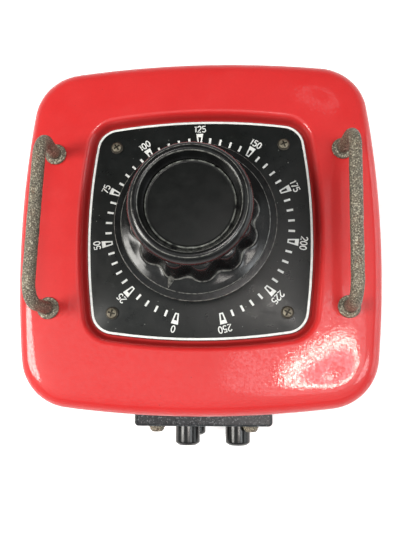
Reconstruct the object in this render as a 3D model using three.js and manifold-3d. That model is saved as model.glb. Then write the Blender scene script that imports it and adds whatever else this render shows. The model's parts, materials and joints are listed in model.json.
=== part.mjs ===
// Variable autotransformer (variac): a square red case with a large dial knob on
// top, two carrying handles and a terminal block on the front.
// Millimetres, +Z up, feet standing on z = 0, terminal side towards -Y.

import * as THREE from 'three';
import { mergeVertices } from 'three/addons/utils/BufferGeometryUtils.js';
import Module from 'manifold-3d';

const wasm = await Module();
wasm.setup();

// ---------------------------------------------------------------- dimensions

const GAP = 0.3; // clearance between touching pieces

// Heights above the ground
const DIAL_HEIGHT = 160; // top face of the dial plate
const FOOT_HEIGHT = 10;

// Rounded-square outlines: half width, radius of the bulged sides, corner radius
const CASE_HALF = 119.4;
const CASE_BULGE = 690;
const CASE_CORNER = 34;
const CASE_SHIFT_Y = -1.3; // the case stands a little in front of the shaft axis
const DIAL_HALF = 73.9;
const DIAL_BULGE = 388;
const DIAL_CORNER = 15;
const DIAL_SHIFT = [1.3, 0.3]; // the dial and its recess stand a little off the shaft axis
const SIDE_POINTS = 6;
const CORNER_POINTS = 4;

const SKIRT_BOTTOM = -44; // below the dial face
const SHEET = 1.6;

const CASING_INSET = 1.9;
const CASING_WALL = 1.2;
const CASING_TOP = -30;
const PAN_INSET = 3.5;
const PAN_WALL = 13.7;

const PLATE_THICK = 1.8;
const CENTRE_HOLE = 12;
const DIAL_SCREW_AT = 56;

const HANDLE_X = 95;
const HANDLE_LEG_Y = 51.8;
const HANDLE_CENTRE_Y = -1;
const HANDLE_LEAN = 0.026; // the grips are turned slightly against their feet
const HANDLE_GRIP_HEIGHT = 37.4;
const HANDLE_ROD = 4;
const HANDLE_BEND = 14;
const HANDLE_LEG_BOTTOM = -13;
const CASE_TOP_AT_HANDLE = 4.1;

const KNOB_LOBES = 12;
const KNOB_POINTS_PER_LOBE = 4;
const KNOB_LOBE_DEPTH = 3.6;
const POINTER_ANGLE = 200.5; // clockwise from the rear, seen from above
const STOP_ANGLE = 180;
const SHAFT_RADIUS = 6;
const BUSH_BORE = 6.09;
const FIXED_BORE = 6.3;

const BLOCK_CENTRE_X = 1.0;
const BLOCK_WIDTH = 96.6;
const BLOCK_FRONT = -130.2;
const BLOCK_BACK = -119.3;
const BLOCK_TOP = -46;
const BLOCK_HEIGHT = 101;
const POST_COLUMNS = [-11.4, 25.0];
const POST_ROWS = [-66, -132.5];
const POST_RADIUS = 8.95;
const POST_TIP = -144.9;
const STUD_RADIUS = 2.5;
const BLOCK_SCREW_X = 33.3;
const BLOCK_SCREW_ROWS = [-54.4, -119];

const COIL_BOTTOM = 18.5;
const COIL_TOP = 104;
const COIL_OUTER = 92;
const COIL_INNER = 34;
const COIL_WALL = 6;
const COIL_GAP_DEGREES = 28;
const BRUSH_RADIUS = 68;

const FOOT_AT = 84;

// The terminals stick out to the front, so the model is moved back by half of that
const CENTRE_SHIFT_Y = (-POST_TIP - CASE_HALF - CASE_SHIFT_Y) / 2;

// ----------------------------------------------------------------- materials

const paint = (name, colour, roughness, metalness) =>
  new THREE.MeshStandardMaterial({ name, color: new THREE.Color(...colour), roughness, metalness });

const redEnamel = () => paint('red_enamel', [0.72, 0.045, 0.05], 0.3, 0.0);
const blackEnamel = () => paint('black_enamel', [0.018, 0.02, 0.022], 0.45, 0.0);
const bakelite = () => paint('bakelite', [0.012, 0.012, 0.013], 0.16, 0.0);
const blockResin = () => paint('block_resin', [0.035, 0.04, 0.046], 0.42, 0.0);
const rustySteel = () => paint('rusty_steel', [0.2, 0.15, 0.115], 0.7, 0.6);
const plainSteel = () => paint('plain_steel', [0.42, 0.41, 0.38], 0.4, 1.0);
const brass = () => paint('brass', [0.6, 0.45, 0.2], 0.35, 1.0);
const copper = () => paint('copper', [0.62, 0.26, 0.12], 0.35, 1.0);
const coreSteel = () => paint('core_steel', [0.12, 0.13, 0.15], 0.5, 0.8);
const aluminium = () => paint('aluminium', [0.6, 0.6, 0.6], 0.4, 1.0);
const insulator = () => paint('insulator', [0.2, 0.09, 0.04], 0.5, 0.0);
const carbon = () => paint('carbon', [0.03, 0.03, 0.032], 0.6, 0.0);
const rubber = () => paint('rubber', [0.02, 0.02, 0.02], 0.85, 0.0);

// ------------------------------------------------------------------- helpers

const model = new THREE.Group();
model.position.set(0, CENTRE_SHIFT_Y, 0);

function addPiece(name, geometry, material) {
  const mesh = new THREE.Mesh(geometry, material);
  mesh.name = name;
  model.add(mesh);
  return mesh;
}

function merged(geometry) {
  const plain = geometry.clone();
  plain.deleteAttribute('normal');
  if (plain.hasAttribute('uv')) plain.deleteAttribute('uv');
  return mergeVertices(plain, 1e-4);
}

function signedVolume(geometry) {
  const positions = geometry.getAttribute('position');
  const index = geometry.index;
  const a = new THREE.Vector3();
  const b = new THREE.Vector3();
  const c = new THREE.Vector3();
  let sum = 0;
  for (let i = 0; i < index.count; i += 3) {
    a.fromBufferAttribute(positions, index.getX(i));
    b.fromBufferAttribute(positions, index.getX(i + 1));
    c.fromBufferAttribute(positions, index.getX(i + 2));
    sum += a.dot(b.cross(c));
  }
  return sum / 6;
}

// Merges shared corners, drops collapsed triangles and turns the faces outward.
function closed(geometry) {
  const result = merged(geometry);
  const source = result.index.array;
  const kept = [];
  for (let i = 0; i < source.length; i += 3) {
    const [p, q, r] = [source[i], source[i + 1], source[i + 2]];
    if (p !== q && q !== r && r !== p) kept.push(p, q, r);
  }
  result.setIndex(kept);
  if (signedVolume(result) < 0) {
    for (let i = 0; i < kept.length; i += 3) [kept[i], kept[i + 1]] = [kept[i + 1], kept[i]];
    result.setIndex(kept);
  }
  result.computeVertexNormals();
  return result;
}

function toSolid(geometry) {
  const source = closed(geometry);
  return new wasm.Manifold(new wasm.Mesh({
    numProp: 3,
    vertProperties: new Float32Array(source.getAttribute('position').array),
    triVerts: new Uint32Array(source.index.array),
  }));
}

function fromSolid(solid) {
  const mesh = solid.getMesh();
  const geometry = new THREE.BufferGeometry();
  geometry.setAttribute('position', new THREE.BufferAttribute(new Float32Array(mesh.vertProperties), 3));
  geometry.setIndex(Array.from(mesh.triVerts));
  geometry.computeVertexNormals();
  return geometry;
}

// Cuts every tool out of the body.
function cut(body, tools) {
  let solid = toSolid(body);
  for (const tool of tools) solid = solid.subtract(toSolid(tool));
  return fromSolid(solid);
}

// Spins a closed or axis-to-axis outline of [radius, height] pairs about +Z.
function turned(outline, segments) {
  const points = outline.map(([radius, height]) => new THREE.Vector2(radius, height));
  const geometry = new THREE.LatheGeometry(points, segments);
  geometry.rotateX(Math.PI / 2);
  return closed(geometry);
}

// A turned tube section: outline is closed on itself.
function turnedRing(outline, segments) {
  return turned([...outline, outline[0]], segments);
}

function box(width, depth, height, x, y, z) {
  const geometry = new THREE.BoxGeometry(width, depth, height);
  geometry.translate(x, y, z);
  return geometry;
}

function upright(radius, bottom, top, x, y, segments) {
  const geometry = new THREE.CylinderGeometry(radius, radius, top - bottom, segments);
  geometry.rotateX(Math.PI / 2);
  geometry.translate(x, y, (bottom + top) / 2);
  return geometry;
}

// Direction in plan for an angle counted clockwise from the rear.
function heading(degrees) {
  const angle = THREE.MathUtils.degToRad(degrees);
  return [Math.sin(angle), Math.cos(angle)];
}

// Points of a square with bulged sides and round corners, anticlockwise.
function outlinePoints(half, bulge, corner) {
  const arcCentre = half - bulge;
  const reach = bulge - corner;
  const cornerCentre = (arcCentre + Math.sqrt(2 * reach * reach - arcCentre * arcCentre)) / 2;
  const sideLimit = Math.atan2(cornerCentre, cornerCentre - arcCentre);
  const points = [];
  for (let quarter = 0; quarter < 4; quarter += 1) {
    const turn = quarter * Math.PI / 2;
    const push = (x, y) => points.push([
      x * Math.cos(turn) - y * Math.sin(turn),
      x * Math.sin(turn) + y * Math.cos(turn),
    ]);
    for (let i = 0; i < SIDE_POINTS; i += 1) {
      const angle = -sideLimit + 2 * sideLimit * i / SIDE_POINTS;
      push(arcCentre + bulge * Math.cos(angle), bulge * Math.sin(angle));
    }
    for (let i = 0; i < CORNER_POINTS; i += 1) {
      const angle = sideLimit + (Math.PI / 2 - 2 * sideLimit) * i / CORNER_POINTS;
      push(cornerCentre + corner * Math.cos(angle), cornerCentre + corner * Math.sin(angle));
    }
  }
  return points;
}

function caseRing(half, height) {
  const inset = CASE_HALF - half;
  const points = outlinePoints(half, CASE_BULGE - inset, Math.max(CASE_CORNER - inset * 0.6, 12));
  return points.map(([x, y]) => [x, y + CASE_SHIFT_Y, DIAL_HEIGHT + height]);
}

function dialRing(half, height) {
  const inset = DIAL_HALF - half;
  const points = outlinePoints(half, DIAL_BULGE - inset, DIAL_CORNER - inset);
  return points.map(([x, y]) => [x + DIAL_SHIFT[0], y + DIAL_SHIFT[1], DIAL_HEIGHT + height]);
}

// A circle whose points lie in the same directions as those of the dial outline.
function roundRing(radius, height) {
  return outlinePoints(DIAL_HALF, DIAL_BULGE, DIAL_CORNER).map(([x, y]) => {
    const scale = radius / Math.hypot(x, y);
    return [x * scale, y * scale, DIAL_HEIGHT + height];
  });
}

// Skins a list of equal rings. The last ring joins the first, so the result is a
// closed tube around the middle hole.
function loftLoop(rings) {
  const count = rings[0].length;
  const positions = rings.flat(2);
  const index = [];
  for (let r = 0; r < rings.length; r += 1) {
    const next = (r + 1) % rings.length;
    for (let i = 0; i < count; i += 1) {
      const j = (i + 1) % count;
      const a = r * count + i;
      const b = r * count + j;
      const c = next * count + j;
      const d = next * count + i;
      index.push(a, b, c, a, c, d);
    }
  }
  const geometry = new THREE.BufferGeometry();
  geometry.setAttribute('position', new THREE.Float32BufferAttribute(positions, 3));
  geometry.setIndex(index);
  geometry.computeVertexNormals();
  return closed(geometry);
}

// Skins rings and closes the first and last one with a flat fan.
function loftCapped(rings) {
  const count = rings[0].length;
  const positions = rings.flat(2);
  const index = [];
  for (let r = 0; r < rings.length - 1; r += 1) {
    for (let i = 0; i < count; i += 1) {
      const j = (i + 1) % count;
      const a = r * count + i;
      const b = r * count + j;
      index.push(a, b, b + count, a, b + count, a + count);
    }
  }
  const bottomCentre = positions.length / 3;
  positions.push(0, 0, rings[0][0][2]);
  positions.push(0, 0, rings[rings.length - 1][0][2]);
  const top = (rings.length - 1) * count;
  for (let i = 0; i < count; i += 1) {
    const j = (i + 1) % count;
    index.push(bottomCentre, j, i);
    index.push(bottomCentre + 1, top + i, top + j);
  }
  const geometry = new THREE.BufferGeometry();
  geometry.setAttribute('position', new THREE.Float32BufferAttribute(positions, 3));
  geometry.setIndex(index);
  geometry.computeVertexNormals();
  return closed(geometry);
}

const SIDES = [['left', -1], ['right', 1]];
const ENDS = [['rear', 1], ['front', -1]];
const CORNERS = SIDES.flatMap(([side, sx]) => ENDS.map(([end, sy]) => [`${end}_${side}`, sx, sy]));

// ------------------------------------------------------------------ top cover

// Pressed sheet cover: recessed floor for the dial, raised lip, almost flat top,
// round shoulder and straight skirt. Outside first, then back along the inside.
const coverOutside = [
  dialRing(DIAL_HALF + 1.1, -2.1),
  dialRing(DIAL_HALF + 1.9, -1.2),
  dialRing(DIAL_HALF + 4.4, 2.8),
  dialRing(DIAL_HALF + 6.2, 4.1),
  caseRing(83, 4.25),
  caseRing(91, 4.25),
  caseRing(101, 4.05),
  caseRing(108, 3.7),
  caseRing(112, 3.0),
  caseRing(114.8, 1.8),
  caseRing(116.9, -0.1),
  caseRing(118.4, -2.7),
  caseRing(119.2, -5.8),
  caseRing(CASE_HALF, -9.8),
  caseRing(CASE_HALF, SKIRT_BOTTOM),
];
const coverInside = [
  caseRing(CASE_HALF - SHEET, SKIRT_BOTTOM),
  caseRing(CASE_HALF - SHEET, -10),
  caseRing(117.3, -4.4),
  caseRing(114, 0.4),
  caseRing(108, 2.1),
  caseRing(90, 2.65),
  caseRing(83.4, 2.65),
  dialRing(DIAL_HALF + 6.6, 2.0),
  dialRing(DIAL_HALF + 3.6, -2.7),
  dialRing(DIAL_HALF + 2.6, -3.7),
];
const coverRings = [
  roundRing(CENTRE_HOLE, -2.1),
  ...coverOutside,
  ...coverInside,
  roundRing(CENTRE_HOLE, -3.7),
];

// Side screws pull the skirt onto the casing; they stand square to the bulged side.
const SIDE_SCREW_Y = 45;
const SIDE_SCREW_HEIGHT = -37;
function sideScrewPlace(sx, sy) {
  const tilt = Math.asin(SIDE_SCREW_Y / CASE_BULGE);
  const x = CASE_HALF - CASE_BULGE + CASE_BULGE * Math.cos(tilt);
  return { x: sx * x, y: sy * SIDE_SCREW_Y + CASE_SHIFT_Y, turn: sx > 0 ? sy * tilt : Math.PI - sy * tilt };
}

function alongSideScrew(geometry, sx, sy) {
  const place = sideScrewPlace(sx, sy);
  geometry.rotateY(Math.PI / 2);
  geometry.rotateZ(place.turn);
  geometry.translate(place.x, place.y, DIAL_HEIGHT + SIDE_SCREW_HEIGHT);
  return geometry;
}

const handleHoles = CORNERS.map(([, sx, sy]) =>
  upright(HANDLE_ROD + 0.5, DIAL_HEIGHT - 6, DIAL_HEIGHT + 8, sx * HANDLE_X, HANDLE_CENTRE_Y + sy * HANDLE_LEG_Y, 12));
const dialScrewHoles = CORNERS.map(([, sx, sy]) =>
  upright(1.9, DIAL_HEIGHT - 6, DIAL_HEIGHT + 3, sx * DIAL_SCREW_AT + DIAL_SHIFT[0],
    sy * DIAL_SCREW_AT + DIAL_SHIFT[1], 10));
const sideScrewHoles = CORNERS.map(([, sx, sy]) =>
  alongSideScrew(upright(2.3, -8, 4, 0, 0, 10), sx, sy));

addPiece('top_cover', cut(loftLoop(coverRings), [...handleHoles, ...dialScrewHoles, ...sideScrewHoles]),
  redEnamel());

// ---------------------------------------------------------------- side casing

const casingOuter = CASE_HALF - CASING_INSET;
const casingInner = casingOuter - CASING_WALL;
const casingBottom = FOOT_HEIGHT + GAP - DIAL_HEIGHT;
const casingRings = [
  caseRing(casingOuter, casingBottom),
  caseRing(casingOuter, CASING_TOP),
  caseRing(casingInner, CASING_TOP),
  caseRing(casingInner, casingBottom),
];

const SLOT_WIDTH = 5;
const SLOT_HEIGHT = 66;
const SLOT_CENTRE = 68;
const SLOT_PITCH = 12;
const slots = [];
for (let i = -6; i <= 6; i += 1) {
  const along = i * SLOT_PITCH;
  slots.push(box(14, SLOT_WIDTH, SLOT_HEIGHT, -116, along, SLOT_CENTRE));
  slots.push(box(14, SLOT_WIDTH, SLOT_HEIGHT, 116, along, SLOT_CENTRE));
  slots.push(box(SLOT_WIDTH, 14, SLOT_HEIGHT, along, 116, SLOT_CENTRE));
}
for (const x of [-84, -72, -60, 60, 72, 84]) {
  slots.push(box(SLOT_WIDTH, 14, SLOT_HEIGHT, x, -116, SLOT_CENTRE));
}

function acrossFront(radius, front, back, x, height, segments) {
  const geometry = new THREE.CylinderGeometry(radius, radius, back - front, segments);
  geometry.translate(x, (front + back) / 2, DIAL_HEIGHT + height);
  return geometry;
}

const postPlaces = [];
POST_ROWS.forEach((height, row) => POST_COLUMNS.forEach((x, column) => {
  postPlaces.push({ name: `${row ? 'lower' : 'upper'}_${column ? 'right' : 'left'}`, x, height });
}));
const blockScrewPlaces = [];
BLOCK_SCREW_ROWS.forEach((height, row) => SIDES.forEach(([side, sx]) => {
  const x = BLOCK_CENTRE_X + sx * BLOCK_SCREW_X;
  blockScrewPlaces.push({ name: `${row ? 'lower' : 'upper'}_${side}`, x, height });
}));

const casingHoles = [
  ...postPlaces.map((place) => acrossFront(5, -124, -110, place.x, place.height, 10)),
  ...blockScrewPlaces.map((place) => acrossFront(3, -124, -110, place.x, place.height, 10)),
];
addPiece('side_casing', cut(loftLoop(casingRings), [...slots, ...sideScrewHoles, ...casingHoles]),
  redEnamel());

CORNERS.forEach(([name, sx, sy]) => {
  const screw = turned([[0, -9], [1.8, -9], [1.8, 0.5], [4.2, 0.5], [3.9, 1.9], [2.4, 2.7], [0, 2.9]], 14);
  const slot = box(7, 1, 1.4, 0, 0, 2.9);
  addPiece(`case_screw_${name}`, alongSideScrew(cut(screw, [slot]), sx, sy), plainSteel());
});

// ------------------------------------------------------------- base and feet

const panOuter = CASE_HALF - PAN_INSET;
const panFloor = casingBottom;
addPiece('base_pan', loftCapped([
  caseRing(panOuter, panFloor),
  caseRing(panOuter, panFloor + PAN_WALL),
  caseRing(panOuter - SHEET, panFloor + PAN_WALL),
  caseRing(panOuter - SHEET, panFloor + SHEET),
]), redEnamel());

CORNERS.forEach(([name, sx, sy]) => {
  const foot = turned([[0, 0], [11, 0], [12.2, 1.4], [11.2, FOOT_HEIGHT], [0, FOOT_HEIGHT]], 20);
  foot.translate(sx * FOOT_AT, sy * FOOT_AT, 0);
  addPiece(`foot_${name}`, foot, rubber());
});

// ----------------------------------------------------------------- dial plate

addPiece('dial_plate', cut(loftLoop([
  roundRing(CENTRE_HOLE, -PLATE_THICK),
  dialRing(DIAL_HALF, -PLATE_THICK),
  dialRing(DIAL_HALF, -0.3),
  dialRing(DIAL_HALF - 0.3, 0),
  roundRing(CENTRE_HOLE, 0),
]), dialScrewHoles), blackEnamel());

CORNERS.forEach(([name, sx, sy]) => {
  const screw = turned([[0, -9], [1.5, -9], [1.5, 0.3], [4.1, 0.3], [4.1, 0.8], [3.2, 1.0], [2.6, 2.0], [0, 2.4]], 12);
  const slot = box(5, 0.8, 1.2, 0, 0, 2.3);
  const piece = cut(screw, [slot]);
  piece.translate(sx * DIAL_SCREW_AT + DIAL_SHIFT[0], sy * DIAL_SCREW_AT + DIAL_SHIFT[1], DIAL_HEIGHT);
  addPiece(`dial_screw_${name}`, piece, rustySteel());
});

// -------------------------------------------------------------------- handles

// Half-round-cornered hoop: up one leg, along the grip, down the other leg.
class HandlePath extends THREE.Curve {
  constructor(x) {
    super();
    this.x = x;
    this.legLength = HANDLE_GRIP_HEIGHT - HANDLE_BEND - HANDLE_LEG_BOTTOM;
    this.bendLength = HANDLE_BEND * Math.PI / 2;
    this.gripLength = 2 * (HANDLE_LEG_Y - HANDLE_BEND);
  }

  getPoint(t, target = new THREE.Vector3()) {
    const total = 2 * this.legLength + 2 * this.bendLength + this.gripLength;
    const mirrored = t > 0.5;
    const travelled = (mirrored ? 1 - t : t) * total;
    let y = -HANDLE_LEG_Y;
    let z = HANDLE_LEG_BOTTOM + travelled;
    if (travelled > this.legLength + this.bendLength) {
      y = -HANDLE_LEG_Y + HANDLE_BEND + travelled - this.legLength - this.bendLength;
      z = HANDLE_GRIP_HEIGHT;
    } else if (travelled > this.legLength) {
      const angle = (travelled - this.legLength) / HANDLE_BEND;
      y = -HANDLE_LEG_Y + HANDLE_BEND * (1 - Math.cos(angle));
      z = HANDLE_GRIP_HEIGHT - HANDLE_BEND + HANDLE_BEND * Math.sin(angle);
    }
    const along = mirrored ? -y : y;
    const rise = THREE.MathUtils.smoothstep(z, CASE_TOP_AT_HANDLE + 4, HANDLE_GRIP_HEIGHT);
    return target.set(this.x + HANDLE_LEAN * along * rise, HANDLE_CENTRE_Y + along, DIAL_HEIGHT + z);
  }
}

const rodSection = new THREE.Shape();
rodSection.absarc(0, 0, HANDLE_ROD, 0, 2 * Math.PI, false);

SIDES.forEach(([side, sx]) => {
  const rod = new THREE.ExtrudeGeometry(rodSection, {
    extrudePath: new HandlePath(sx * HANDLE_X),
    steps: 28,
    curveSegments: 5,
    bevelEnabled: false,
  });
  addPiece(`handle_${side}`, closed(rod), rustySteel());
});

CORNERS.forEach(([name, sx, sy]) => {
  const washer = turnedRing([[HANDLE_ROD + 0.4, 0], [7.2, 0], [7.2, 1.6], [HANDLE_ROD + 0.4, 1.6]], 14);
  washer.translate(sx * HANDLE_X, HANDLE_CENTRE_Y + sy * HANDLE_LEG_Y, DIAL_HEIGHT + CASE_TOP_AT_HANDLE + 0.3);
  addPiece(`handle_washer_${name}`, washer, rustySteel());
  const nut = cut(upright(7.4, 0, 5.2, 0, 0, 6), [upright(HANDLE_ROD + 0.7, -1, 6, 0, 0, 12)]);
  nut.translate(sx * HANDLE_X, HANDLE_CENTRE_Y + sy * HANDLE_LEG_Y, DIAL_HEIGHT - 5.6);
  addPiece(`handle_nut_${name}`, nut, rustySteel());
});

// ------------------------------------------------------------- terminal block

const blockPlan = new THREE.Shape();
const blockHalf = BLOCK_WIDTH / 2;
const BLOCK_CORNER = 3;
blockPlan.moveTo(-blockHalf, BLOCK_BACK);
blockPlan.lineTo(-blockHalf, BLOCK_FRONT + BLOCK_CORNER);
blockPlan.absarc(-blockHalf + BLOCK_CORNER, BLOCK_FRONT + BLOCK_CORNER, BLOCK_CORNER, Math.PI, 1.5 * Math.PI, false);
blockPlan.lineTo(blockHalf - BLOCK_CORNER, BLOCK_FRONT);
blockPlan.absarc(blockHalf - BLOCK_CORNER, BLOCK_FRONT + BLOCK_CORNER, BLOCK_CORNER, 1.5 * Math.PI, 2 * Math.PI, false);
blockPlan.lineTo(blockHalf, BLOCK_BACK);
blockPlan.closePath();
const blockBody = new THREE.ExtrudeGeometry(blockPlan, { depth: BLOCK_HEIGHT, bevelEnabled: false, curveSegments: 4 });
blockBody.translate(BLOCK_CENTRE_X, 0, DIAL_HEIGHT + BLOCK_TOP - BLOCK_HEIGHT);
const blockHoles = [...postPlaces, ...blockScrewPlaces].map((place) =>
  acrossFront(STUD_RADIUS + GAP, BLOCK_FRONT - 2, BLOCK_BACK + 2, place.x, place.height, 12));
addPiece('terminal_block', cut(blockBody, blockHoles), blockResin());

// Turned pieces on the block point along -Y: height in the outline is depth in front.
function onBlock(geometry, place) {
  geometry.rotateX(Math.PI / 2);
  geometry.translate(place.x, 0, DIAL_HEIGHT + place.height);
  return geometry;
}

postPlaces.forEach((place) => {
  const face = -BLOCK_FRONT;
  const stud = turned([
    [0, 108], [STUD_RADIUS, 108], [STUD_RADIUS, face + GAP], [5.4, face + GAP],
    [5.4, face + 1.5], [STUD_RADIUS, face + 1.5], [STUD_RADIUS, 141], [0, 141],
  ], 16);
  addPiece(`terminal_stud_${place.name}`, onBlock(stud, place), brass());
  const tip = -POST_TIP;
  const bore = STUD_RADIUS + 0.1;
  const start = face + 1.5 + GAP;
  const cap = turned([
    [0, 142], [bore, 142], [bore, start], [POST_RADIUS - 0.5, start], [POST_RADIUS, start + 0.6],
    [POST_RADIUS, tip - 3], [POST_RADIUS - 0.9, tip - 0.9], [POST_RADIUS - 3, tip], [0, tip],
  ], 16);
  addPiece(`terminal_cap_${place.name}`, onBlock(cap, place), bakelite());
});

blockScrewPlaces.forEach((place) => {
  const face = -BLOCK_FRONT;
  const shank = turned([
    [0, 111], [STUD_RADIUS, 111], [STUD_RADIUS, face + GAP], [5.6, face + GAP],
    [5.6, face + 1.3], [5.2, face + 1.4], [5.2, face + 4.0], [4.4, face + 4.6], [0, face + 4.6],
  ], 12);
  addPiece(`block_screw_${place.name}`, onBlock(shank, place), rustySteel());
});

// ------------------------------------------------------------ coil and core

const coreProfile = [[44, 30], [82, 30], [82, 92], [44, 92]];
addPiece('toroid_core', turnedRing(coreProfile, 36), coreSteel());

const windingOuter = turnedRing([
  [COIL_INNER, COIL_BOTTOM + 5], [COIL_INNER + 5, COIL_BOTTOM], [COIL_OUTER - 5, COIL_BOTTOM],
  [COIL_OUTER, COIL_BOTTOM + 5], [COIL_OUTER, COIL_TOP - 5], [COIL_OUTER - 5, COIL_TOP],
  [COIL_INNER + 5, COIL_TOP], [COIL_INNER, COIL_TOP - 5],
], 36);
const coreRoom = turnedRing([
  [COIL_INNER + COIL_WALL, COIL_BOTTOM + COIL_WALL], [COIL_OUTER - COIL_WALL, COIL_BOTTOM + COIL_WALL],
  [COIL_OUTER - COIL_WALL, COIL_TOP - COIL_WALL], [COIL_INNER + COIL_WALL, COIL_TOP - COIL_WALL],
], 36);
const gapPlan = new THREE.Shape();
gapPlan.moveTo(0, 0);
for (const degrees of [STOP_ANGLE - COIL_GAP_DEGREES / 2, STOP_ANGLE + COIL_GAP_DEGREES / 2]) {
  const [x, y] = heading(degrees);
  gapPlan.lineTo(x * 140, y * 140);
}
gapPlan.closePath();
const gapWedge = new THREE.ExtrudeGeometry(gapPlan, { depth: 140, bevelEnabled: false });
addPiece('winding', cut(windingOuter, [coreRoom, gapWedge]), copper());

addPiece('coil_base_ring', turnedRing([[46, 12.3], [80, 12.3], [80, 18.2], [46, 18.2]], 32), insulator());
addPiece('coil_top_ring', turnedRing([[20, COIL_TOP + GAP], [58, COIL_TOP + GAP], [58, 108.6], [20, 108.6]], 32),
  insulator());

const [stopX, stopY] = heading(STOP_ANGLE);
addPiece('stop_block', box(17.6, 8, 11, stopX * 50, stopY * 50, 114.4), insulator());

addPiece('bottom_bearing', turnedRing([
  [BUSH_BORE, 12.3], [18, 12.3], [18, 15.5], [11, 16.5], [11, 30], [BUSH_BORE, 30],
], 24), brass());
addPiece('top_bearing', turnedRing([
  [BUSH_BORE, DIAL_HEIGHT - 12], [10, DIAL_HEIGHT - 12], [17.5, DIAL_HEIGHT - 9], [17.5, DIAL_HEIGHT - 4],
  [11.5, DIAL_HEIGHT - 4], [11.5, DIAL_HEIGHT + 0.9], [BUSH_BORE, DIAL_HEIGHT + 0.9],
], 24), brass());

// ---------------------------------------------------------------------- rotor

addPiece('shaft', turned([
  [0, 15], [SHAFT_RADIUS - 0.8, 15], [SHAFT_RADIUS, 15.8],
  [SHAFT_RADIUS, DIAL_HEIGHT + 48.4], [SHAFT_RADIUS - 0.8, DIAL_HEIGHT + 49.4], [0, DIAL_HEIGHT + 49.4],
], 24), plainSteel());

// The knob is round at the flange and head, and lobed on the grip between them.
// Each entry is radius, height above the dial, and how deep the valleys are.
const knobProfile = [
  [FIXED_BORE, 3, 0], [15, 3, 0], [15, 9, 0], [44.5, 9, 0], [48.8, 13.5, 0], [50.9, 17.6, 0],
  [50.7, 19, 0], [49.9, 19.5, 0], [46.7, 19.5, 0], [46.1, 20.2, 0], [40.3, 22.2, 0.8],
  [39.4, 23.4, 1], [35.7, 38.4, 1], [33.9, 39.8, 0.9], [28.6, 40.6, 0], [28.0, 42.6, 0],
  [30.6, 45.6, 0], [34.6, 50.0, 0], [35.6, 54.0, 0], [34.7, 57.3, 0], [32.4, 59.5, 0],
  [30.7, 60.0, 0], [29.1, 59.3, 0], [27.4, 55.2, 0], [26.4, 53.4, 0], [26.4, 50, 0], [FIXED_BORE, 50, 0],
];
const knobCount = KNOB_LOBES * KNOB_POINTS_PER_LOBE;
const knobRings = knobProfile.map(([radius, height, depth]) => {
  const ring = [];
  for (let i = 0; i < knobCount; i += 1) {
    const turn = i / knobCount * 360;
    const valley = Math.abs(Math.sin(Math.PI * i / KNOB_POINTS_PER_LOBE)) ** 3;
    const reach = radius - KNOB_LOBE_DEPTH * depth * valley;
    const [x, y] = heading(POINTER_ANGLE + turn);
    ring.push([reach * x, reach * y, DIAL_HEIGHT + height]);
  }
  return ring;
});

const pointerPlan = new THREE.Shape();
pointerPlan.moveTo(-3.6, 34);
pointerPlan.lineTo(3.6, 34);
pointerPlan.lineTo(3.0, 39);
pointerPlan.lineTo(0.4, 45.2);
pointerPlan.lineTo(-0.4, 45.2);
pointerPlan.lineTo(-3.0, 39);
pointerPlan.closePath();
const pointer = new THREE.ExtrudeGeometry(pointerPlan, { depth: 4.6, bevelEnabled: false });
pointer.rotateZ(-THREE.MathUtils.degToRad(POINTER_ANGLE));
pointer.translate(0, 0, DIAL_HEIGHT + 20);

const SET_SCREW_HEIGHT = 29;
function acrossKnob(radius, inner, outer, segments) {
  const geometry = new THREE.CylinderGeometry(radius, radius, outer - inner, segments);
  geometry.translate(0, (inner + outer) / 2, 0);
  geometry.rotateZ(-THREE.MathUtils.degToRad(POINTER_ANGLE + 180));
  geometry.translate(0, 0, DIAL_HEIGHT + SET_SCREW_HEIGHT);
  return geometry;
}

const knobBody = toSolid(loftLoop(knobRings)).add(toSolid(pointer)).subtract(toSolid(acrossKnob(2.7, 5, 45, 12)));
addPiece('knob', fromSolid(knobBody), bakelite());
addPiece('knob_set_screw', closed(acrossKnob(2.3, 6.5, 24, 12)), plainSteel());
addPiece('knob_cap', turned([
  [0, DIAL_HEIGHT + 50.3], [26.0, DIAL_HEIGHT + 50.3], [26.0, DIAL_HEIGHT + 53.2],
  [25.4, DIAL_HEIGHT + 53.8], [0, DIAL_HEIGHT + 54.0],
], 40), blackEnamel());

// Aluminium arm and cooling disc that carry the brush round the top of the coil.
const rotorDisc = turnedRing([[FIXED_BORE, 116], [14, 116], [14, 128], [56, 128], [56, 131], [14, 131],
  [14, 138], [FIXED_BORE, 138]], 28);
const armPlan = new THREE.Shape();
armPlan.moveTo(-9, 40);
armPlan.lineTo(9, 40);
armPlan.lineTo(9, 80);
armPlan.lineTo(-9, 80);
armPlan.closePath();
const arm = new THREE.ExtrudeGeometry(armPlan, { depth: 3, bevelEnabled: false });
arm.rotateZ(-THREE.MathUtils.degToRad(POINTER_ANGLE));
arm.translate(0, 0, 128);
addPiece('brush_arm', fromSolid(toSolid(rotorDisc).add(toSolid(arm))), aluminium());

function atBrush(geometry) {
  geometry.translate(0, BRUSH_RADIUS, 0);
  geometry.rotateZ(-THREE.MathUtils.degToRad(POINTER_ANGLE));
  return geometry;
}

const holderBody = box(13, 17, 20.4, 0, 0, 117.5);
const holderChannel = box(8, 12, 40, 0, 0, 117.5);
addPiece('brush_holder', atBrush(cut(holderBody, [holderChannel])), brass());
addPiece('carbon_brush', atBrush(box(7.6, 11.6, 11.7, 0, 0, COIL_TOP + GAP + 5.85)), carbon());

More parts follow.
